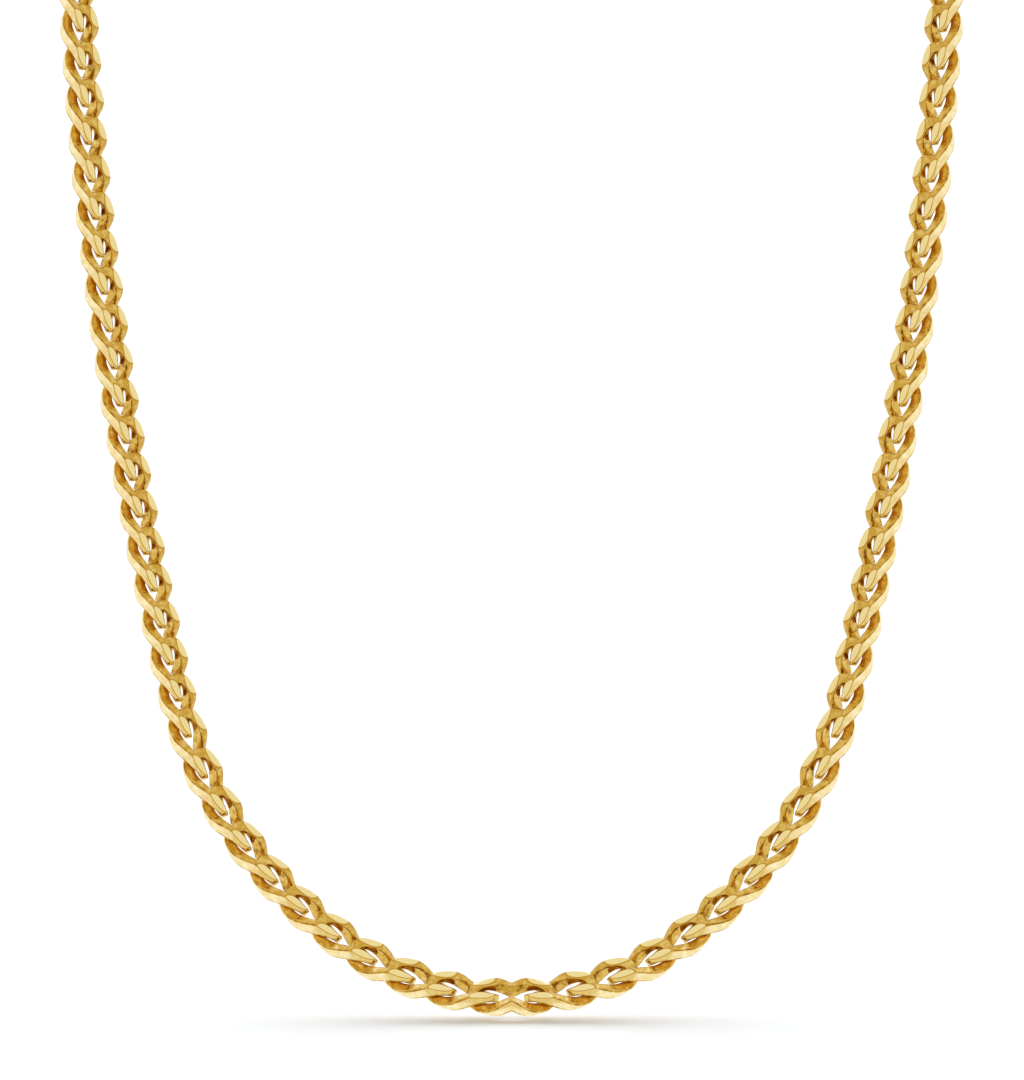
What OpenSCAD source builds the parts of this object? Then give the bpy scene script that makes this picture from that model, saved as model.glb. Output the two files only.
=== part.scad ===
// Curb chain necklace: a closed loop of twisted oval links of square wire that pass through one another.
// It hangs in a deep U at the front, bends back over the shoulders and fastens at the nape.
// The links along the bottom of the U are full length and those of the strands a little shorter.
// Sizes are in millimetres, +Z is up and the front faces -Y.
// The origin lies under the clasp, where the chain rests on the back of the neck.

/* [Link] */
// length of a low link's oval along the middle of its wire
link_len = 7.65; // [7.5:0.05:7.7]
// width of a link's oval along the middle of its wire
link_wid = 4.1; // [4:0.02:4.3]
// squareness of the oval, where 2 is an ellipse
link_shape = 2.5; // [2.3:0.1:3]
// twist from the middle of a link to each end, in degrees
link_twist = 40; // [38:1:42]
// how early the twist is done along the link, where a small value is an even twist
twist_rush = 1.3; // [1:0.1:1.5]
// height of the ground flats at the front and back of a link, from its middle
flat_at = 1.3; // [1.25:0.01:1.4]
// sections that draw a link's oval
link_sections = 12; // [12:4:16]

/* [Wire] */
// thickness of the wire across the oval
wire_thick = 1.28; // [0.8:0.01:1.32]
// depth of the wire through the oval
wire_deep = 1.6; // [0.8:0.01:1.62]
// depth of the wire at a link's ends, as a share of its depth
end_share = 0.58; // [0.5:0.01:0.7]

/* [Chain] */
// distance from the centre of one low link to the next
pitch = 5.1; // [5.05:0.01:5.15]
// low links at full length, on each side of the middle link
low_links = 10; // [8:1:12]
// shorter links above them, on each side
strand_links = 53; // [51:1:60]
// length of a shorter link as a share of a low link's
strand_share = 0.888; // [0.86:0.002:1]
// turn of every link about the line of the chain, in degrees
chain_roll = 56; // [50:1:60]
// further turn of the links at the bottom of the U, which fades up the strands, in degrees
low_roll = 9; // [0:1:12]
// how far each end of the middle link reaches past a low link's
middle_reach = 0.86; // [0.4:0.01:1.2]

/* [Front curve] */
// radius of the curve at the bottom of the U
low_radius = 33; // [32:0.2:40]
// angle of that curve on each side, in degrees
low_angle = 32.7; // [31:0.1:34]
// radius of the curve beside it
side_radius = 50.8; // [48:0.2:54]
// angle of that curve, in degrees
side_angle = 44.3; // [43.5:0.1:46]
// radius of the long curve that makes the strands nearly straight
rise_radius = 475; // [440:1:500]

/* [Shoulders] */
// height of the part that hangs upright in front
front_height = 124; // [120:1:140]
// radius of the bend over the shoulders
shoulder_radius = 45; // [40:1:60]
// lean of the loop at the nape, in degrees from upright
nape_lean = 80; // [70:1:90]

/* [Clasp] */
// distance from the nape to the centre of the last link on each side
last_link_at = 12.5; // [12.4:0.1:12.7]
// straight stretch at the nape, on each side
nape_flat = 12; // [10:0.5:16]
// thickness of the clasp's body
clasp_thick = 3; // [2:0.1:3.4]
// thickness of the clasp's wire
clasp_wire = 1.2; // [0.8:0.05:1.3]
// radius of the clasp's hook along the middle of its wire
hook_radius = 2.6; // [2.2:0.1:3.2]
// radius of the clasp's eye along the middle of its wire
eye_radius = 1.5; // [1.4:0.1:1.8]
// distance from the nape to the clasp's two end bars
clasp_bar_at = 7.1; // [7:0.1:7.3]
// radius of the two joining rings along the middle of their wire
ring_radius = 2.4; // [2.3:0.1:2.6]
// thickness of the rings' wire
ring_wire = 1; // [0.6:0.05:1.1]
// distance from the nape to the centre of each ring
ring_at = 8.2; // [8:0.1:8.3]

/* [Hidden] */

gold = [0.87, 0.69, 0.3];
// how far the wire's sides reach inward from its middle before they slope to the inner edge, as a
// share of its thickness
inner_cut = 0.2;
// how late the wire grows shallower toward a link's ends
neck_power = 2.6;
// radius of the clasp's tail as a share of its body's
tail_share = 0.62;
// the thumb tab's width as a share of the clasp's wire, and its place from the hook's rim and middle
tab_share = 1.2;
tab_out = 0.35;
tab_along = 0.9;
half_wid = link_wid / 2;
half_len = link_len / 2;
side_links = low_links + strand_links;
half_loop = distance_of(side_links - 1) + last_link_at;

// A route is a table of arcs and straights, one row for each, with these columns.
RADIUS = 0; // radius of an arc, or 0 for a straight
EXTENT = 1; // degrees of an arc, or length of a straight

front_arcs = [
    [low_radius, low_angle],
    [side_radius, side_angle],
    [rise_radius, 90 - low_angle - side_angle]
];
front_length = route_length(front_arcs);
front_end = walk(front_arcs, front_length);
nape_radius = front_end[0] - nape_flat;
shoulder_length = half_loop - front_length - arc_length(nape_radius, 90) - nape_flat;

// half of the loop laid out flat, from the bottom of the U to the nape
loop_route = concat(front_arcs, [[0, shoulder_length], [nape_radius, 90], [0, nape_flat]]);
// the loop seen from the side, from upright in front to its lean at the nape
lean_route = [
    [0, front_height],
    [shoulder_radius, nape_lean],
    [0, half_loop]
];

// Length of a side's link as a share of a low link's, and its distance from the bottom of the U.
function share_of(count) = count < low_links ? 1 : strand_share;
function distance_of(count) =
    count == 0
        ? pitch + middle_reach
        : distance_of(count - 1) + pitch * (share_of(count - 1) + share_of(count)) / 2;

function arc_length(radius, angle) = radius * angle * PI / 180;
function row_length(row) = row[RADIUS] == 0 ? row[EXTENT] : arc_length(row[RADIUS], row[EXTENT]);
function route_length(route, row = 0) =
    row == len(route) ? 0 : row_length(route[row]) + route_length(route, row + 1);

// Point and heading at a distance along a route: [ahead, sideways, heading].
function walk(route, distance, row = 0, ahead = 0, aside = 0, heading = 0) =
    let (
        radius = route[row][RADIUS],
        run = min(distance, row_length(route[row])),
        turned = heading + (radius == 0 ? 0 : run / radius * 180 / PI),
        next_ahead = ahead + (radius == 0 ? run * cos(heading) : radius * (sin(turned) - sin(heading))),
        next_aside = aside + (radius == 0 ? run * sin(heading) : radius * (cos(heading) - cos(turned)))
    )
    row == len(route) - 1 || distance <= run
        ? [next_ahead, next_aside, turned]
        : walk(route, distance - run, row + 1, next_ahead, next_aside, turned);

// Place and directions of the chain at a distance from the bottom of the U, going up the left side:
// [place, along the chain, out from the wearer].
function line_at(distance) =
    let (
        flat = walk(loop_route, distance),
        side = walk(lean_route, flat[1]),
        heading = flat[2],
        lean = side[2]
    )
    [
        [-flat[0], side[1], side[0]],
        [-cos(heading), sin(heading) * sin(lean), sin(heading) * cos(lean)],
        [0, -cos(lean), sin(lean)]
    ];

nape = line_at(half_loop);
rest_point = nape[0] - nape[2] * clasp_thick / 2;

// A point of a link's oval, x across the chain and y along it, and the way out of the oval there.
function signed_power(value, power) = sign(value) * pow(abs(value), power);
function oval_point(angle, half_long) = [
    half_wid * signed_power(cos(angle), 2 / link_shape),
    half_long * signed_power(sin(angle), 2 / link_shape)
];
function oval_out(point, half_long) =
    let (
        slope = [
            signed_power(point[0] / half_wid, link_shape - 1) / half_wid,
            signed_power(point[1] / half_long, link_shape - 1) / half_long
        ]
    )
    slope / norm(slope);

// Angles that space the sections evenly along the wire: the length of a quarter of the oval at each
// fine step is looked up against its angle.
fine_steps = 30;
function fine_point(step) = oval_point(90 * step / fine_steps, half_len);
function quarter_run(step) =
    step == 0 ? 0 : quarter_run(step - 1) + norm(fine_point(step) - fine_point(step - 1));
quarter_angles = [for (step = [0:fine_steps]) [quarter_run(step), 90 * step / fine_steps]];
function even_angle(part) = lookup(part * quarter_run(fine_steps), quarter_angles);
function section_angle(section) =
    let (
        quarters = 4 * section / link_sections,
        quarter = floor(quarters),
        part = quarters - quarter
    )
    quarter % 2 == 0 ? 90 * quarter + even_angle(part) : 90 * (quarter + 1) - even_angle(1 - part);

// The wire's section as shares of its thickness and depth, from its middle: square on the outside of
// the oval, and sloped to one edge on the inside, where the next links turn.
wire_corners = [
    [0.5, 0.5],
    [-inner_cut, 0.5],
    [-0.5, 0],
    [-inner_cut, -0.5],
    [0.5, -0.5]
];
corner_count = len(wire_corners);

// A link's twist at a point along the chain. The middle link's two halves mirror each other.
function curved(value) = 1 - 2 / (exp(2 * value) + 1);
function twist_at(along, mirrored) =
    let (part = (mirrored ? abs(along) - middle_reach : along) / half_len)
    link_twist * curved(twist_rush * part) / curved(twist_rush);

// The wire is shallower toward a link's ends.
function depth_at(along, half_long) =
    wire_deep * (1 - (1 - end_share) * pow(abs(along) / half_long, neck_power));

// The twisted wire is ground flat at the front and the back.
function ground(height) = min(max(height, -flat_at), flat_at);

function link_points(half_long, mirrored) = [
    for (section = [0:link_sections - 1], corner = wire_corners)
        let (
            middle = oval_point(section_angle(section), half_long),
            turn = twist_at(middle[1], mirrored),
            flat = middle + oval_out(middle, half_long) * corner[0] * wire_thick,
            deep = corner[1] * depth_at(middle[1], half_long),
            across = flat[0] * cos(turn) - deep * sin(turn),
            height = flat[0] * sin(turn) + deep * cos(turn)
        )
        [across, flat[1], ground(height)]
];

// Two triangles for each side of the wire between one section and the next.
link_faces = [
    for (section = [0:link_sections - 1], corner = [0:corner_count - 1])
        let (
            here = section * corner_count,
            next = (section + 1) % link_sections * corner_count,
            beside = (corner + 1) % corner_count
        )
        each [
            [here + corner, here + beside, next + beside],
            [here + corner, next + beside, next + corner]
        ]
];

// Directions and place of a shape at a distance along the left side: [across, along, out, place].
function seat_at(distance, roll = 0) =
    let (
        line = line_at(distance),
        across = cross(line[1], line[2])
    )
    [
        across * cos(roll) - line[2] * sin(roll),
        line[1],
        across * sin(roll) + line[2] * cos(roll),
        line[0] - rest_point
    ];

// The links' turn about the line, which is greater where the line runs level.
function roll_at(distance) = chain_roll + low_roll * max(0, -line_at(distance)[1][0]);

// Moves a point of a shape to its seat.
function seated(point, seat) = seat[3] + point[0] * seat[0] + point[1] * seat[1] + point[2] * seat[2];

// Links at several places along the left side, or mirrored on the right, in one body of loose links.
// Each place is a distance from the bottom of the U and the link's length as a share.
module links(places, half_long = half_len, mirrored = false, right = false) {
    one_link = link_points(half_long, mirrored);
    side = right ? -1 : 1;
    points = [
        for (place = places)
            let (seat = seat_at(place[0], roll_at(place[0])))
            each [
                for (point = one_link)
                    let (spot = seated([point[0], point[1] * place[1], point[2]], seat))
                    [side * spot[0], spot[1], spot[2]]
            ]
    ];
    faces = [
        for (count = [0:len(places) - 1], face = link_faces)
            let (first = count * len(one_link))
            right
                ? [first + face[0], first + face[2], first + face[1]]
                : [first + face[0], first + face[1], first + face[2]]
    ];
    color(gold)
        polyhedron(points = points, faces = faces, convexity = 10);
}

side_places = [for (count = [0:side_links - 1]) [distance_of(count), share_of(count)]];

// The strand that the viewer sees on the left, with the links that pass behind the neck.
module chain_left() {
    links(side_places);
}

// The other strand is its mirror image, twist and all.
module chain_right() {
    links(side_places, right = true);
}

// The lowest link is a little longer, and both of its ends lie open to the front.
module middle_link() {
    links([[0, 1]], half_len + middle_reach, true);
}

// Moves a shape to the nape, its y along the chain to the wearer's left and its z out from the wearer.
module at_nape() {
    seat = seat_at(half_loop);
    multmatrix([
        [seat[0][0], seat[1][0], seat[2][0], seat[3][0]],
        [seat[0][1], seat[1][1], seat[2][1], seat[3][1]],
        [seat[0][2], seat[1][2], seat[2][2], seat[3][2]],
        [0, 0, 0, 1]
    ])
        children();
}

// A ring across the line of the chain, at a distance from the nape.
module joining_ring(side) {
    color(gold)
        at_nape()
            translate([0, side * ring_at, 0])
                rotate([0, 90, 0])
                    rotate_extrude($fn = 48)
                        translate([ring_radius, 0])
                            circle(d = ring_wire, $fn = 24);
}

module end_ring() {
    joining_ring(-1);
}

module clasp_ring() {
    joining_ring(1);
}

// A closed lobster clasp in one piece: a round hook, a tapered body, an eye and a thumb tab.
module clasp() {
    hook_at = hook_radius - clasp_bar_at;
    eye_at = clasp_bar_at - eye_radius;
    // the body is a ball at the hook's end, a smaller one at the eye's, and the cone that touches both
    body_r = clasp_thick / 2;
    tail_r = body_r * tail_share;
    body_low = hook_at + hook_radius + body_r - clasp_wire / 2;
    body_len = eye_at - eye_radius - body_low;
    body_taper = asin((body_r - tail_r) / body_len);
    color(gold)
        at_nape()
            union() {
                translate([0, hook_at, 0])
                    rotate_extrude($fn = 48)
                        translate([hook_radius, 0])
                            circle(d = clasp_wire, $fn = 24);
                translate([0, eye_at, 0])
                    rotate_extrude($fn = 48)
                        translate([eye_radius, 0])
                            circle(d = clasp_wire, $fn = 24);
                translate([0, body_low, 0])
                    sphere(r = body_r, $fn = 48);
                translate([0, body_low + body_r * sin(body_taper), 0])
                    rotate([-90, 0, 0])
                        cylinder(
                            h = body_len - (body_r - tail_r) * sin(body_taper),
                            r1 = body_r * cos(body_taper),
                            r2 = tail_r * cos(body_taper),
                            $fn = 48
                        );
                translate([0, body_low + body_len, 0])
                    sphere(r = tail_r, $fn = 48);
                translate([hook_radius + tab_out, hook_at + tab_along, 0])
                    sphere(d = clasp_wire * tab_share, $fn = 32);
            }
}

chain_left();
chain_right();
middle_link();
clasp();
clasp_ring();
end_ring();
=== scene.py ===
"""A curb chain necklace in polished yellow gold, hanging in its worn shape, seen from the front,
a little from above.

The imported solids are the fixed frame. Each chain node is replaced by links of the same form with more
sides, so that the light runs over them as over drawn and polished wire. Lengths are in millimetres and
angles in degrees, and both are turned into metres and radians where they are used.
"""

import logging
import math
from dataclasses import dataclass, field
from enum import Enum

import bpy
import numpy as np
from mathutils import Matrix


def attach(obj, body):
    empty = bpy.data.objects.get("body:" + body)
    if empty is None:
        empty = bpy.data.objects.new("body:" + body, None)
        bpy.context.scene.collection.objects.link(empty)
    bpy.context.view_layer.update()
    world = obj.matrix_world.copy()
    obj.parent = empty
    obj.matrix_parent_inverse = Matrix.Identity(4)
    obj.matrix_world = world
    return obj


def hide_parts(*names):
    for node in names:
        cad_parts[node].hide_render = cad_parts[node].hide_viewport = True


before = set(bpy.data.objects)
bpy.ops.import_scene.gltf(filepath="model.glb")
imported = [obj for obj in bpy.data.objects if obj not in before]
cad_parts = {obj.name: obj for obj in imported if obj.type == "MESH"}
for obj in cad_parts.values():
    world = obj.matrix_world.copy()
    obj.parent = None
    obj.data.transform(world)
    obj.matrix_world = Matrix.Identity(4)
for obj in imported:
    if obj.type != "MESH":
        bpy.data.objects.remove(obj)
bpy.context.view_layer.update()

LOG = logging.getLogger("necklace")
MM = 0.001
# The two values that each point of a link carries for the light and shade painted on it: its share of
# painted shade, and its height, which finds the ground flats and their rims.
PAINTED_SHADE = "painted_shade"
HEIGHT = "height"
# The height of a link's two ground flats from its middle.
FLAT_AT = 1.31


class Side(Enum):
    """Which side of the necklace a strand hangs on, as the viewer sees it."""

    LEFT = 1
    RIGHT = -1


class Face(Enum):
    """The faces of a link's wire, each with its share of painted shade: none on the ground flats, which
    get a painted highlight, little on the outer faces, more on the sides and the inner face, and most in
    the corners.
    """

    GROUND = 0.0
    OUTER = 0.12
    SIDE = 0.4
    INNER = 0.7
    CORNER = 1.0


def linear(hex_colour: str) -> tuple[float, float, float, float]:
    """Turns an sRGB hex colour into the linear values that a shader takes.

    Args:
        hex_colour: six hex digits, such as "f4d98c".

    Returns:
        Red, green and blue in linear light, and an alpha of 1.
    """
    parts = [int(hex_colour[i : i + 2], 16) / 255 for i in (0, 2, 4)]
    red, green, blue = (p / 12.92 if p <= 0.04045 else ((p + 0.055) / 1.055) ** 2.4 for p in parts)
    return red, green, blue, 1.0


def add_node(
    tree: bpy.types.NodeTree, kind: str, settings: dict | None = None, links: dict | None = None
) -> bpy.types.Node:
    """Adds a node to a tree, with its settings and its incoming links.

    Args:
        tree: the node tree.
        kind: the node's type name.
        settings: values by property name, or by input name or number.
        links: output sockets, or nodes whose first output is meant, by the name or number of the input
            that each one feeds.

    Returns:
        The new node.
    """
    node = tree.nodes.new(kind)
    for name, value in (settings or {}).items():
        if isinstance(name, str) and hasattr(node, name):
            setattr(node, name, value)
        else:
            node.inputs[name].default_value = value
    for name, source in (links or {}).items():
        socket = source.outputs[0] if isinstance(source, bpy.types.Node) else source
        tree.links.new(socket, node.inputs[name])
    return node


def add_material(name: str) -> bpy.types.Material:
    """Adds a material whose node tree is empty.

    Args:
        name: the material's name.

    Returns:
        The material.
    """
    material = bpy.data.materials.new(name)
    material.use_nodes = True
    material.node_tree.nodes.clear()
    return material


def add_mesh(
    name: str, points: np.ndarray, faces: list[tuple[int, ...]], material: bpy.types.Material
) -> bpy.types.Object:
    """Adds an object with flat faces.

    Args:
        name: the name of the object and of its mesh.
        points: its corners, in millimetres.
        faces: the numbers of each face's corners.
        material: its material.

    Returns:
        The object, at the origin.
    """
    mesh = bpy.data.meshes.new(name)
    mesh.from_pydata((points * MM).tolist(), [], faces)
    mesh.materials.append(material)
    piece = bpy.data.objects.new(name, mesh)
    bpy.context.scene.collection.objects.link(piece)
    return piece


@dataclass(frozen=True)
class PolishedGold:
    """Yellow gold of 14 carat, polished. A faint waviness and hairline scratches give it an uneven gloss.

    The scratches are coarser than real ones, so that they show.
    """

    name: str
    roughness: float = 0.12
    roughness_spread: float = 0.06
    wave_size: float = 1.6
    wave_detail: float = 1.0
    wave_height: float = 0.004
    scratch_size: float = 0.12
    scratch_detail: float = 2.0
    scratch_range: tuple[float, float] = (0.3, 0.7)
    scratch_height: float = 0.0006

    def make(self) -> bpy.types.Material:
        """Builds the material.

        Returns:
            The material, with its nodes.
        """
        material = add_material(self.name)
        tree = material.node_tree
        place = add_node(tree, "ShaderNodeTexCoord").outputs["Object"]
        wave, scratch = (
            add_node(
                tree, "ShaderNodeTexNoise", {"Scale": 1 / (size * MM), "Detail": detail}, {"Vector": place}
            )
            for size, detail in (
                (self.wave_size, self.wave_detail),
                (self.scratch_size, self.scratch_detail),
            )
        )
        gloss = add_node(
            tree,
            "ShaderNodeMapRange",
            {
                "From Min": self.scratch_range[0],
                "From Max": self.scratch_range[1],
                "To Min": self.roughness - self.roughness_spread / 2,
                "To Max": self.roughness + self.roughness_spread / 2,
            },
            {"Value": scratch},
        )
        waviness = add_node(tree, "ShaderNodeBump", {"Distance": self.wave_height * MM}, {"Height": wave})
        hairlines = add_node(
            tree,
            "ShaderNodeBump",
            {"Distance": self.scratch_height * MM},
            {"Height": scratch, "Normal": waviness},
        )
        surface = add_node(
            tree,
            "ShaderNodeBsdfPrincipled",
            {"Metallic": 1.0},
            {"Roughness": gloss, "Normal": hairlines},
        )
        self.paint(tree, surface, place)
        add_node(tree, "ShaderNodeOutputMaterial", links={"Surface": surface})
        return material

    def paint(
        self, tree: bpy.types.NodeTree, surface: bpy.types.Node, place: bpy.types.NodeSocket
    ) -> None:
        """Colours the surface; each kind of gold has its own way.

        Args:
            tree: the material's node tree.
            surface: the shader.
            place: the coordinates on the object.
        """
        raise NotImplementedError


@dataclass(frozen=True)
class CastGold(PolishedGold):
    """Gold cast and tumbled, as the fittings are: one even tone, as deep as the amber painted shade on the
    wire's sides.
    """

    name: str = "yellow_gold_cast"
    colour: str = "e6c983"

    def paint(
        self, tree: bpy.types.NodeTree, surface: bpy.types.Node, place: bpy.types.NodeSocket
    ) -> None:
        """Colours the surface evenly.

        Args:
            tree: the material's node tree, not needed here.
            surface: the shader.
            place: the coordinates on the object, not needed here.
        """
        surface.inputs["Base Color"].default_value = linear(self.colour)


@dataclass(frozen=True)
class FaceShadedGold(PolishedGold):
    """Gold drawn as square wire, twisted, ground flat in front and polished, with light and shade painted
    on it by the faces of the wire.

    The ground flats and the outer faces get a pale painted highlight. The sides and the inner faces of the
    wire get an amber painted shade, made uneven by noise, and the wire's corners and the flats' rims get
    thin brown lines of painted shade. The noise is coarse, so that it shows. The draw marks are coarser
    than real ones, so that they show.
    """

    name: str = "yellow_gold_face_shaded"
    # Painted tones by face: a pale painted highlight on the ground flats and the outer faces, amber
    # painted shade on the sides and the inner faces, brown painted shade in the corners and along the
    # flats' rims.
    ground: str = "fff5d2"
    outer_painted_highlight: str = "f4dfa2"
    side: str = "dab45a"
    inner: str = "d3ab52"
    # Brown painted shade for the wire's corners and the flats' rims.
    painted_corner_shade: str = "8a6222"
    # Noise that makes the painted shade uneven.
    shade_noise_size: float = 0.7
    shade_noise_detail: float = 3.0
    shade_noise_range: tuple[float, float] = (0.35, 0.65)
    shade_noise_depth: float = 0.6
    flat_at: float = FLAT_AT
    # The brown line of painted shade along each flat's rim: how wide it is, and its share of painted
    # shade.
    rim_width: float = 0.1
    rim_shade_share: float = 0.85

    def paint(
        self, tree: bpy.types.NodeTree, surface: bpy.types.Node, place: bpy.types.NodeSocket
    ) -> None:
        """Paints light and shade on the surface by the faces of the wire.

        Args:
            tree: the material's node tree.
            surface: the shader.
            place: the coordinates on the object.
        """
        tint = add_node(tree, "ShaderNodeValToRGB", links={"Fac": self.painted_shade_share(tree, place)})
        colours = {
            Face.GROUND: self.ground,
            Face.OUTER: self.outer_painted_highlight,
            Face.SIDE: self.side,
            Face.INNER: self.inner,
            Face.CORNER: self.painted_corner_shade,
        }
        stops = tint.color_ramp.elements
        for face in (Face.OUTER, Face.SIDE, Face.INNER):
            stops.new(face.value)
        for stop, face in zip(stops, colours):
            stop.color = linear(colours[face])
        tree.links.new(tint.outputs["Color"], surface.inputs["Base Color"])

    def painted_shade_share(self, tree: bpy.types.NodeTree, place: bpy.types.NodeSocket) -> bpy.types.Node:
        """Gives each place's share of painted shade, made uneven by noise, with more along the flats'
        rims.

        Args:
            tree: the material's node tree.
            place: the coordinates on the object.

        Returns:
            The node that gives the share.
        """
        shade_noise = add_node(
            tree,
            "ShaderNodeTexNoise",
            {"Scale": 1 / (self.shade_noise_size * MM), "Detail": self.shade_noise_detail},
            {"Vector": place},
        )
        painted_shade = add_node(tree, "ShaderNodeAttribute", {"attribute_name": PAINTED_SHADE}).outputs["Fac"]
        height = add_node(tree, "ShaderNodeAttribute", {"attribute_name": HEIGHT}).outputs["Fac"]
        uneven = add_node(
            tree,
            "ShaderNodeMapRange",
            {
                "From Min": self.shade_noise_range[0],
                "From Max": self.shade_noise_range[1],
                "To Min": 1 - self.shade_noise_depth,
                "To Max": 1 + self.shade_noise_depth / 2,
            },
            {"Value": shade_noise},
        )
        # The painted shade of each face, made uneven by the noise.
        drawn = add_node(tree, "ShaderNodeMath", {"operation": "MULTIPLY"}, {0: painted_shade, 1: uneven})
        out = add_node(tree, "ShaderNodeMath", {"operation": "ABSOLUTE"}, {0: height})
        above = add_node(tree, "ShaderNodeMath", {"operation": "SUBTRACT", 1: self.flat_at}, {0: out})
        below_flat = add_node(tree, "ShaderNodeMath", {"operation": "LESS_THAN", 1: 0.0}, {0: above})
        off_flat = add_node(tree, "ShaderNodeMath", {"operation": "MULTIPLY"}, {0: drawn, 1: below_flat})
        from_rim = add_node(tree, "ShaderNodeMath", {"operation": "ABSOLUTE"}, {0: above})
        # A thin brown line of painted shade along each flat's rim.
        painted_rim_shade = add_node(
            tree,
            "ShaderNodeMapRange",
            {"From Max": self.rim_width, "To Min": self.rim_shade_share, "To Max": 0.0},
            {"Value": from_rim},
        )
        return add_node(tree, "ShaderNodeMath", {"operation": "MAXIMUM"}, {0: off_flat, 1: painted_rim_shade})


@dataclass(frozen=True)
class StudioPaper:
    """White paper of a studio sweep, matt and even, so that only the soft shadow shows on it.

    Its fibres are drawn coarser than real ones, or they would be lost at this distance.
    """

    name: str = "paper_white_matt"
    colour: str = "f7f7f7"
    roughness: float = 0.9
    fibre_size: float = 0.8
    fibre_height: float = 0.02

    def make(self) -> bpy.types.Material:
        """Builds the material.

        Returns:
            The material, with its nodes.
        """
        material = add_material(self.name)
        tree = material.node_tree
        place = add_node(tree, "ShaderNodeTexCoord").outputs["Object"]
        scale = 1 / (self.fibre_size * MM)
        fibres = add_node(tree, "ShaderNodeTexNoise", {"Scale": scale}, {"Vector": place})
        relief = add_node(tree, "ShaderNodeBump", {"Distance": self.fibre_height * MM}, {"Height": fibres})
        surface = add_node(
            tree,
            "ShaderNodeBsdfPrincipled",
            {"Base Color": linear(self.colour), "Roughness": self.roughness},
            {"Normal": relief},
        )
        add_node(tree, "ShaderNodeOutputMaterial", links={"Surface": surface})
        return material


@dataclass(frozen=True)
class WarmCard:
    """Even warm card, which gives an amber tone to the gold that is turned toward it."""

    name: str = "card_warm_even"
    colour: str = "ecdfb4"
    glow: float = 1.0

    def make(self) -> bpy.types.Material:
        """Builds the material.

        Returns:
            The material, with its nodes.
        """
        material = add_material(self.name)
        tree = material.node_tree
        even = add_node(tree, "ShaderNodeEmission", {"Color": linear(self.colour), "Strength": self.glow})
        add_node(tree, "ShaderNodeOutputMaterial", links={"Surface": even})
        return material


@dataclass
class Run:
    """One piece of a route: an arc of a radius, or a straight where the radius is 0."""

    radius: float
    extent: float

    def length(self) -> float:
        """Gives the run's length; an arc's extent is in degrees."""
        return self.radius * math.radians(self.extent) if self.radius else self.extent


@dataclass
class WornCurve:
    """The line that the chain follows round the neck, the same as the solids'.

    Seen flat, it goes from the bottom of the U through two arcs and a long rise, then straight on, and
    round the nape. Seen from the side, it goes up the front and over the shoulder. The roll turns the
    chain about its own length, a little further at the bottom than elsewhere.
    """

    half_loop: float
    low: Run = field(default_factory=lambda: Run(radius=33, extent=32.7))
    beside: Run = field(default_factory=lambda: Run(radius=50.8, extent=44.3))
    rise_radius: float = 475
    front_height: float = 124
    shoulder: Run = field(default_factory=lambda: Run(radius=45, extent=80))
    nape_flat: float = 12
    clasp_thick: float = 3
    roll: float = 56
    low_roll: float = 9

    def __post_init__(self) -> None:
        """Lays out the loop seen flat, and seen from the side."""
        front = [self.low, self.beside, Run(self.rise_radius, 90 - self.low.extent - self.beside.extent)]
        front_length = sum(run.length() for run in front)
        nape = Run(self.walk(front, front_length)[0] - self.nape_flat, 90)
        straight = self.half_loop - front_length - nape.length() - self.nape_flat
        self.loop = front + [Run(0, straight), nape, Run(0, self.nape_flat)]
        self.side = [Run(0, self.front_height), self.shoulder, Run(0, self.half_loop)]
        place, _, out = self.line_at(self.half_loop)
        self.rest_point = place - out * self.clasp_thick / 2

    @staticmethod
    def walk(route: list[Run], distance: float) -> tuple[float, float, float]:
        """Follows a route.

        Args:
            route: the runs in order.
            distance: how far to go.

        Returns:
            The way ahead, the way sideways and the heading in radians.
        """
        ahead = aside = heading = 0.0
        for run in route:
            step = min(distance, run.length()) if run is not route[-1] else distance
            turned = heading + (step / run.radius if run.radius else 0)
            if run.radius:
                ahead += run.radius * (math.sin(turned) - math.sin(heading))
                aside += run.radius * (math.cos(heading) - math.cos(turned))
            else:
                ahead += step * math.cos(heading)
                aside += step * math.sin(heading)
            heading = turned
            distance -= step
            if distance <= 0:
                break
        return ahead, aside, heading

    def line_at(self, distance: float) -> tuple[np.ndarray, np.ndarray, np.ndarray]:
        """Finds the chain's line at a distance from the bottom of the U, going up the left side.

        Args:
            distance: the distance along the chain.

        Returns:
            The place, the direction along the chain, and the direction out from the wearer.
        """
        ahead, aside, heading = self.walk(self.loop, distance)
        side_ahead, side_aside, lean = self.walk(self.side, aside)
        place = np.array([-ahead, side_aside, side_ahead])
        along = np.array(
            [-math.cos(heading), math.sin(heading) * math.sin(lean), math.sin(heading) * math.cos(lean)]
        )
        out = np.array([0, -math.cos(lean), math.sin(lean)])
        return place, along, out

    def seat(self, distance: float) -> tuple[np.ndarray, np.ndarray]:
        """Gives the turn and the place of a link at a distance along the left side.

        Args:
            distance: the distance along the chain from the bottom of the U.

        Returns:
            A matrix whose rows are the directions across, along and out, and the place from the origin.
        """
        place, along, out = self.line_at(distance)
        across = np.cross(along, out)
        roll = math.radians(self.roll + self.low_roll * max(0, -along[0]))
        turn = np.array(
            [
                across * math.cos(roll) - out * math.sin(roll),
                along,
                across * math.sin(roll) + out * math.cos(roll),
            ]
        )
        return turn, place - self.rest_point


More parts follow.
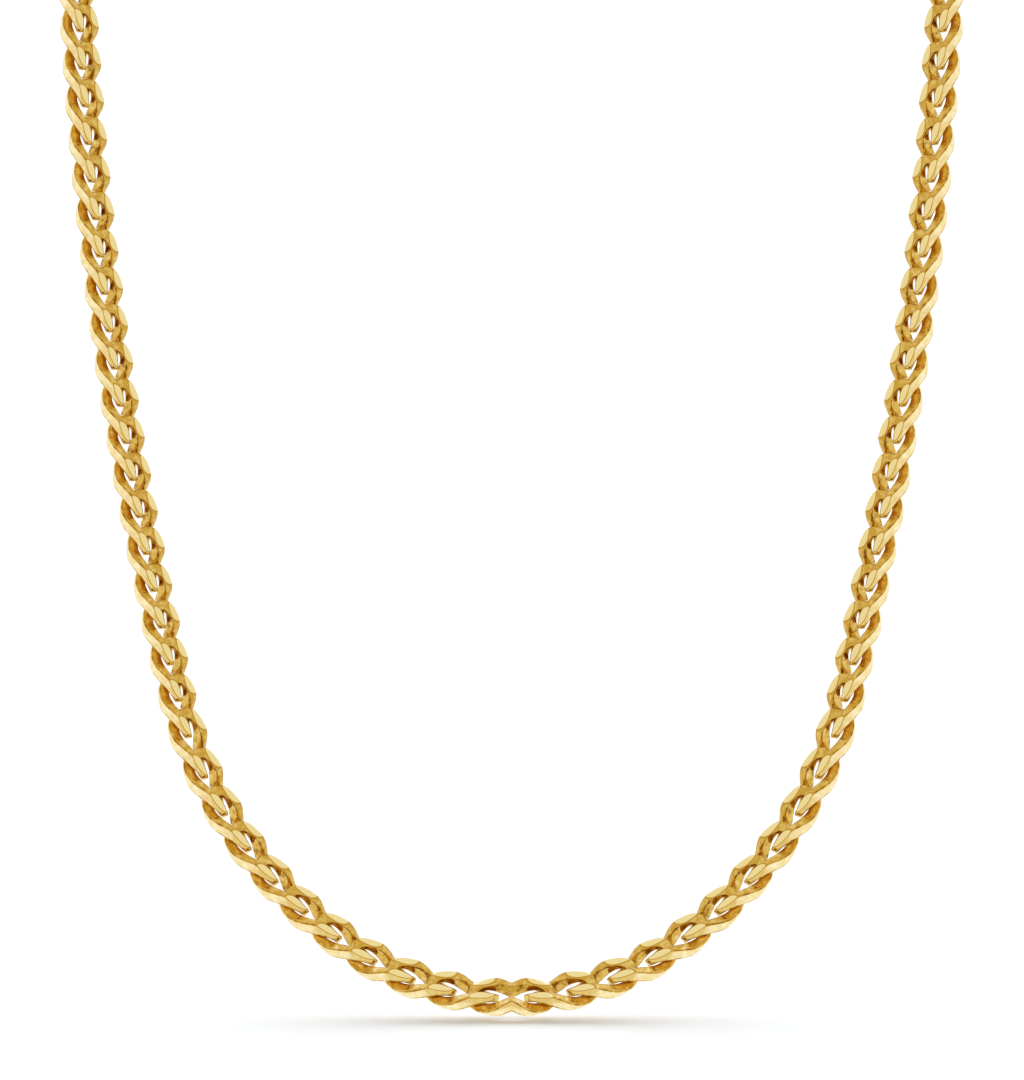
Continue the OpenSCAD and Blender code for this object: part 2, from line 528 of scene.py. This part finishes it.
@dataclass
class LinkMesh:
    """Points in millimetres, the way out at each, and four-sided faces.

    For each point it also holds its share of painted shade, and its height before grinding.
    """

    points: np.ndarray
    normals: np.ndarray
    faces: np.ndarray
    painted_shade: np.ndarray
    height: np.ndarray

    def make(self, name: str, material: bpy.types.Material) -> bpy.types.Object:
        """Makes a smooth object of the mesh.

        Args:
            name: the object's name.
            material: the object's material.

        Returns:
            The object, at the origin.
        """
        piece = add_mesh(name, self.points, self.faces.tolist(), material)
        mesh = piece.data
        mesh.polygons.foreach_set("use_smooth", [True] * len(mesh.polygons))
        mesh.normals_split_custom_set_from_vertices(self.normals.tolist())
        for label, values in ((PAINTED_SHADE, self.painted_shade), (HEIGHT, self.height)):
            carried = mesh.attributes.new(label, "FLOAT", "POINT")
            carried.data.foreach_set("value", values.astype(np.float32))
        return piece


@dataclass
class CurbLink:
    """One twisted and ground oval of rounded square wire, shallower toward its ends.

    Squareness is 2 for an ellipse, and more for a squarer form. The places where the wire's faces and
    its corners start, and the blends between them, are shares of half the wire.
    """

    length: float = 7.65
    width: float = 4.1
    squareness: float = 2.5
    twist: float = 40
    twist_rush: float = 1.3
    wire_thick: float = 1.36
    wire_deep: float = 1.66
    wire_squareness: float = 5.5
    end_share: float = 0.58
    neck_power: float = 2.6
    flat_at: float = FLAT_AT
    flat_edge: float = 0.24
    outer_edge: float = 0.95
    inner_edge: float = -0.9
    face_blend: float = 0.08
    corner_at: float = 0.72
    corner_blend: float = 0.1
    rings: int = 82
    sides: int = 36
    fine_steps: int = 7200
    nudge: float = 1e-5

    @staticmethod
    def superellipse(angle: np.ndarray, squareness: float) -> tuple[np.ndarray, np.ndarray]:
        """Gives points of a superellipse of half size 1.

        Args:
            angle: the parameter of each point, in radians.
            squareness: 2 for a circle, more for a squarer form.

        Returns:
            The two coordinates of the points.
        """
        cos, sin = np.cos(angle), np.sin(angle)
        power = 2 / squareness
        return np.sign(cos) * np.abs(cos) ** power, np.sign(sin) * np.abs(sin) ** power

    def even_angles(self, count: int, squareness: float, wide: float, tall: float) -> np.ndarray:
        """Spaces points evenly round a superellipse.

        Args:
            count: how many points.
            squareness: the superellipse's squareness.
            wide: its width.
            tall: its height.

        Returns:
            The parameter of each point.
        """
        fine = np.linspace(0, 2 * math.pi, self.fine_steps + 1)
        x, y = self.superellipse(fine, squareness)
        steps = np.hypot(np.diff(x * wide), np.diff(y * tall))
        run = np.concatenate([[0], np.cumsum(steps)])
        return np.interp((np.arange(count) + 0.5) / count * run[-1], run, fine)

    def twisted(
        self, ring: np.ndarray, turn: np.ndarray, reach: float, mirrored: bool
    ) -> tuple[np.ndarray, np.ndarray, np.ndarray]:
        """Finds points of the link's skin before the flats are ground.

        Args:
            ring: the place round the oval, in radians.
            turn: the place round the wire, in radians.
            reach: how much further than usual each end lies from the middle.
            mirrored: whether the two halves mirror each other.

        Returns:
            The points' places across the chain, along it, and out.
        """
        half_wide, half_long = self.width / 2, self.length / 2 + reach
        x, y = self.superellipse(ring, self.squareness)
        slope = np.array([x, y])
        slope = np.sign(slope) * np.abs(slope) ** (self.squareness - 1)
        slope = slope / np.array([half_wide, half_long]).reshape((2,) + (1,) * x.ndim)
        slope = slope / np.linalg.norm(slope, axis=0)
        out, deep = self.superellipse(turn, self.wire_squareness)
        neck = 1 - (1 - self.end_share) * np.abs(y) ** self.neck_power
        out, deep = out * self.wire_thick / 2, deep * self.wire_deep / 2 * neck
        across, along = x * half_wide + slope[0] * out, y * half_long
        share = (np.abs(along) - reach if mirrored else along) / (self.length / 2)
        twist = math.radians(self.twist) * np.tanh(self.twist_rush * share) / math.tanh(self.twist_rush)
        wide = across * np.cos(twist) - deep * np.sin(twist)
        return wide, along + slope[1] * out, across * np.sin(twist) + deep * np.cos(twist)

    def ground(self, height: np.ndarray) -> np.ndarray:
        """Cuts heights to the ground flats, over a soft edge.

        Args:
            height: heights from the link's middle.

        Returns:
            The heights, none further out than the flats.
        """
        for way in (1, -1):
            over = (way * height - self.flat_at) / self.flat_edge
            height = height - way * self.flat_edge * np.logaddexp(0, over)
        return height

    def surface(self, ring: np.ndarray, turn: np.ndarray, reach: float, mirrored: bool) -> np.ndarray:
        """Finds points of the link's skin.

        Args:
            ring: the place round the oval, in radians.
            turn: the place round the wire, in radians.
            reach: how much further than usual each end lies from the middle.
            mirrored: whether the two halves mirror each other.

        Returns:
            The points, with x across the chain, y along it and z out.
        """
        wide, along, high = self.twisted(ring, turn, reach, mirrored)
        return np.stack([wide, along, self.ground(high)], axis=-1)

    def painted_shade(self, turn: np.ndarray) -> np.ndarray:
        """Tells where shade is painted on the wire: its sides, its inner face and its corners.

        Args:
            turn: the place round the wire, in radians.

        Returns:
            For each point a share of painted shade, from little on the outer face to 1 in the corners.
        """
        out, deep = self.superellipse(turn, self.wire_squareness)
        side = np.clip((self.outer_edge - out) / self.face_blend, 0, 1)
        inside = np.clip((self.inner_edge - out) / self.face_blend, 0, 1)
        faces = Face.OUTER.value + (Face.SIDE.value - Face.OUTER.value) * side
        faces = faces + (Face.INNER.value - Face.SIDE.value) * inside
        nearest = np.minimum(np.abs(out), np.abs(deep))
        # A thin brown line of painted shade along the wire's corners.
        painted_corner_shade = np.clip((nearest - self.corner_at) / self.corner_blend, 0, 1)
        return np.maximum(faces, painted_corner_shade * Face.CORNER.value)

    def build(self, reach: float = 0, mirrored: bool = False) -> LinkMesh:
        """Builds the link about its own middle.

        Args:
            reach: how much further than usual each end lies from the middle.
            mirrored: whether the two halves mirror each other.

        Returns:
            The link's mesh.
        """
        ring = self.even_angles(self.rings, self.squareness, self.width, self.length + 2 * reach)
        turn = self.even_angles(self.sides, self.wire_squareness, self.wire_thick, self.wire_deep)
        ring, turn = np.broadcast_arrays(ring[:, None], turn[None, :])
        by_ring, by_turn = (
            self.surface(ring + ring_step, turn + turn_step, reach, mirrored)
            - self.surface(ring - ring_step, turn - turn_step, reach, mirrored)
            for ring_step, turn_step in ((self.nudge, 0), (0, self.nudge))
        )
        normals = np.cross(by_ring, by_turn)
        normals /= np.linalg.norm(normals, axis=-1, keepdims=True)
        rows, columns = np.indices((self.rings, self.sides))
        corners = [
            (rows + down) % self.rings * self.sides + (columns + over) % self.sides
            for down, over in ((0, 0), (1, 0), (1, 1), (0, 1))
        ]
        return LinkMesh(
            self.surface(ring, turn, reach, mirrored).reshape(-1, 3),
            normals.reshape(-1, 3),
            np.stack(corners, axis=-1).reshape(-1, 4),
            self.painted_shade(turn).reshape(-1),
            self.twisted(ring, turn, reach, mirrored)[2].reshape(-1),
        )


@dataclass
class Chain:
    """The links of the necklace: full length along the bottom of the U, a little shorter above it.

    The pitch is the way from link to link, less in the strands by their share. The middle link reaches
    further than the others on both sides. The middle of the last link is last_link_at from the middle
    of the nape, where the clasp lies.
    """

    gold: bpy.types.Material
    link: CurbLink = field(default_factory=CurbLink)
    pitch: float = 5.1
    low_links: int = 10
    strand_links: int = 53
    strand_share: float = 0.888
    middle_reach: float = 0.86
    last_link_at: float = 12.5
    front_links: int = 32

    def __post_init__(self) -> None:
        """Works out each link's length as a share, its distance from the bottom, and the curve."""
        self.shares = [1.0] * self.low_links + [self.strand_share] * self.strand_links
        steps = [(a + b) / 2 * self.pitch for a, b in zip(self.shares, self.shares[1:])]
        first = self.pitch + self.middle_reach
        self.distances = [first + sum(steps[:count]) for count in range(len(self.shares))]
        self.curve = WornCurve(self.distances[-1] + self.last_link_at)

    def join(
        self, name: str, link: LinkMesh, places: list[tuple[float, float]], side: Side
    ) -> bpy.types.Object:
        """Copies a link to several places and joins the copies.

        Args:
            name: the piece's name.
            link: the link's mesh.
            places: each copy's distance from the bottom of the U, and its length as a share.
            side: the side of the necklace.

        Returns:
            The piece.
        """
        flip = np.array([side.value, 1, 1])
        order = link.faces if side is Side.LEFT else link.faces[:, ::-1]
        points, normals, faces = [], [], []
        for count, (distance, share) in enumerate(places):
            turn, place = self.curve.seat(distance)
            squash = np.array([1, share, 1])
            slant = link.normals / squash
            points.append(((link.points * squash) @ turn + place) * flip)
            normals.append((slant / np.linalg.norm(slant, axis=1, keepdims=True) @ turn) * flip)
            faces.append(order + count * len(link.points))
        joined = LinkMesh(
            np.concatenate(points),
            np.concatenate(normals),
            np.concatenate(faces),
            np.tile(link.painted_shade, len(places)),
            np.tile(link.height, len(places)),
        )
        return joined.make(name, self.gold)

    def build(self) -> list[bpy.types.Object]:
        """Builds both strands, each in a front and a back piece, and the middle link.

        Returns:
            The pieces.
        """
        places = list(zip(self.distances, self.shares))
        front, back = places[: self.front_links], places[self.front_links :]
        usual, middle = self.link.build(), self.link.build(self.middle_reach, True)
        pieces = [
            ("chain_left", self.join("gold_front_left", usual, front, Side.LEFT)),
            ("chain_left", self.join("gold_back_left", usual, back, Side.LEFT)),
            ("chain_right", self.join("gold_front_right", usual, front, Side.RIGHT)),
            ("chain_right", self.join("gold_back_right", usual, back, Side.RIGHT)),
            ("middle_link", self.join("gold_middle_link", middle, [(0.0, 1.0)], Side.LEFT)),
        ]
        for node, piece in pieces:
            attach(piece, "root")
            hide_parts(node)
        return [piece for _, piece in pieces]


@dataclass
class Fastening:
    """The clasp and its two rings at the nape, which keep their solids' shapes."""

    gold: bpy.types.Material
    nodes: tuple[str, ...] = ("clasp", "clasp_ring", "end_ring")

    def dress(self) -> list[bpy.types.Object]:
        """Gives each fitting its finish.

        Returns:
            The fittings.
        """
        pieces = [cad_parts[name] for name in self.nodes]
        for piece in pieces:
            piece.data.materials.clear()
            piece.data.materials.append(self.gold)
        return pieces


@dataclass
class Studio:
    """White paper, a warm card, a pale room with a warmer side near the camera, and the camera.

    The low link's row and the middle column are places in the photo, in pixels; a pixel is a size at
    the necklace. The ranges hold how far a direction agrees with the way of the light, or of the near
    side of the room, where each tone starts and ends.
    """

    curve: WornCurve
    picture_width: int = 1024
    picture_height: int = 1080
    pixel: float = 0.11905
    low_link_row: float = 997.92
    middle_column: float = 511.5
    camera_away: float = 4000
    view_depth: float = 12000
    sensor: float = 36
    raised: float = 9
    paper_below: float = 2.75
    paper_reach: float = 5000
    card_reach: float = 500
    light_way: tuple[float, float, float] = (0, 0.5, 0.866)
    light_range: tuple[float, float] = (0.4, 0.95)
    low_light: float = 0.4
    high_light: float = 2.2
    room_colour: str = "f8fbff"
    near_way: tuple[float, float, float] = (0, -0.9, 0.43)
    near_range: tuple[float, float] = (0.35, 0.97)
    far_colour: str = "ffffff"
    near_colour: str = "e0c898"
    gloss_light: float = 1.05

    def low_point(self) -> np.ndarray:
        """Gives the middle of the lowest link."""
        return self.curve.seat(0)[1]

    def camera(self) -> None:
        """Sets the camera a little above the middle of the picture, far off on a long lens."""
        data = bpy.data.cameras.new("long_lens")
        data.sensor_width = self.sensor
        data.lens = self.sensor * self.camera_away / (self.picture_height * self.pixel)
        data.clip_end = self.view_depth * MM
        raised = math.radians(self.raised)
        middle = self.low_point() + [
            (self.picture_width / 2 - self.middle_column) * self.pixel,
            0,
            (self.low_link_row - self.picture_height / 2) * self.pixel / math.cos(raised),
        ]
        back = np.array([0, -math.cos(raised), math.sin(raised)])
        camera = bpy.data.objects.new("long_lens", data)
        camera.location = ((middle + back * self.camera_away) * MM).tolist()
        camera.rotation_euler = (math.pi / 2 - raised, 0, 0)
        bpy.context.scene.collection.objects.link(camera)
        bpy.context.scene.camera = camera

    def paper(self) -> None:
        """Lays the paper just under the lowest link, for the soft shadow; gloss doesn't show it."""
        level = self.low_point()[2] - self.paper_below
        ways = ((-1, -1), (1, -1), (1, 1), (-1, 1))
        corners = [(right * self.paper_reach, far * self.paper_reach, level) for right, far in ways]
        paper = add_mesh("studio_paper", np.array(corners), [(0, 1, 2, 3)], StudioPaper().make())
        paper.visible_glossy = False

    def card(self) -> None:
        """Stands a warm card edge on between the strands, which only their gloss shows."""
        low = self.low_point()
        near, far = low[1] - self.card_reach, low[1] + self.card_reach
        bottom, top = low[2] - self.card_reach, low[2] + self.card_reach
        corners = [(0, near, bottom), (0, far, bottom), (0, far, top), (0, near, top)]
        card = add_mesh("warm_card", np.array(corners), [(0, 1, 2, 3)], WarmCard().make())
        card.visible_camera = card.visible_diffuse = card.visible_shadow = False

    def room(self) -> None:
        """Makes the room: light from above on the paper, and for the gold a pale room, warmer near by."""
        world = bpy.data.worlds.new("soft_room")
        bpy.context.scene.world = world
        world.use_nodes = True
        tree = world.node_tree
        tree.nodes.clear()
        looking = add_node(tree, "ShaderNodeTexCoord").outputs["Generated"]
        near, toward = (
            add_node(
                tree, "ShaderNodeVectorMath", {"operation": "DOT_PRODUCT", 1: way}, {0: looking}
            ).outputs["Value"]
            for way in (self.near_way, self.light_way)
        )
        tone = add_node(tree, "ShaderNodeValToRGB", links={"Fac": near})
        stops = zip(tone.color_ramp.elements, self.near_range, (self.far_colour, self.near_colour))
        for stop, position, colour in stops:
            stop.position, stop.color = position, linear(colour)
        light = add_node(
            tree,
            "ShaderNodeMapRange",
            {
                "From Min": self.light_range[0],
                "From Max": self.light_range[1],
                "To Min": self.low_light,
                "To Max": self.high_light,
            },
            {"Value": toward},
        )
        mirrored = add_node(tree, "ShaderNodeBackground", {"Strength": self.gloss_light}, {"Color": tone})
        above = add_node(
            tree, "ShaderNodeBackground", {"Color": linear(self.room_colour)}, {"Strength": light}
        )
        glossy = add_node(tree, "ShaderNodeLightPath").outputs["Is Glossy Ray"]
        mix = add_node(tree, "ShaderNodeMixShader", links={0: glossy, 1: above, 2: mirrored})
        add_node(tree, "ShaderNodeOutputWorld", links={"Surface": mix})

    def build(self) -> None:
        """Builds the studio."""
        self.camera()
        self.paper()
        self.card()
        self.room()
        bpy.context.scene.view_settings.view_transform = "Standard"


def main() -> None:
    """Builds the studio and the necklace, and reports each piece."""
    logging.basicConfig(level=logging.INFO, format="%(message)s")
    # The chain's gold carries light and shade painted on by the faces of its wire.
    chain = Chain(FaceShadedGold().make())
    Studio(chain.curve).build()
    pieces = chain.build() + Fastening(CastGold().make()).dress()
    for piece in pieces:
        LOG.info("%s: %d faces", piece.name, len(piece.data.polygons))


if __name__ == "__main__":
    main()
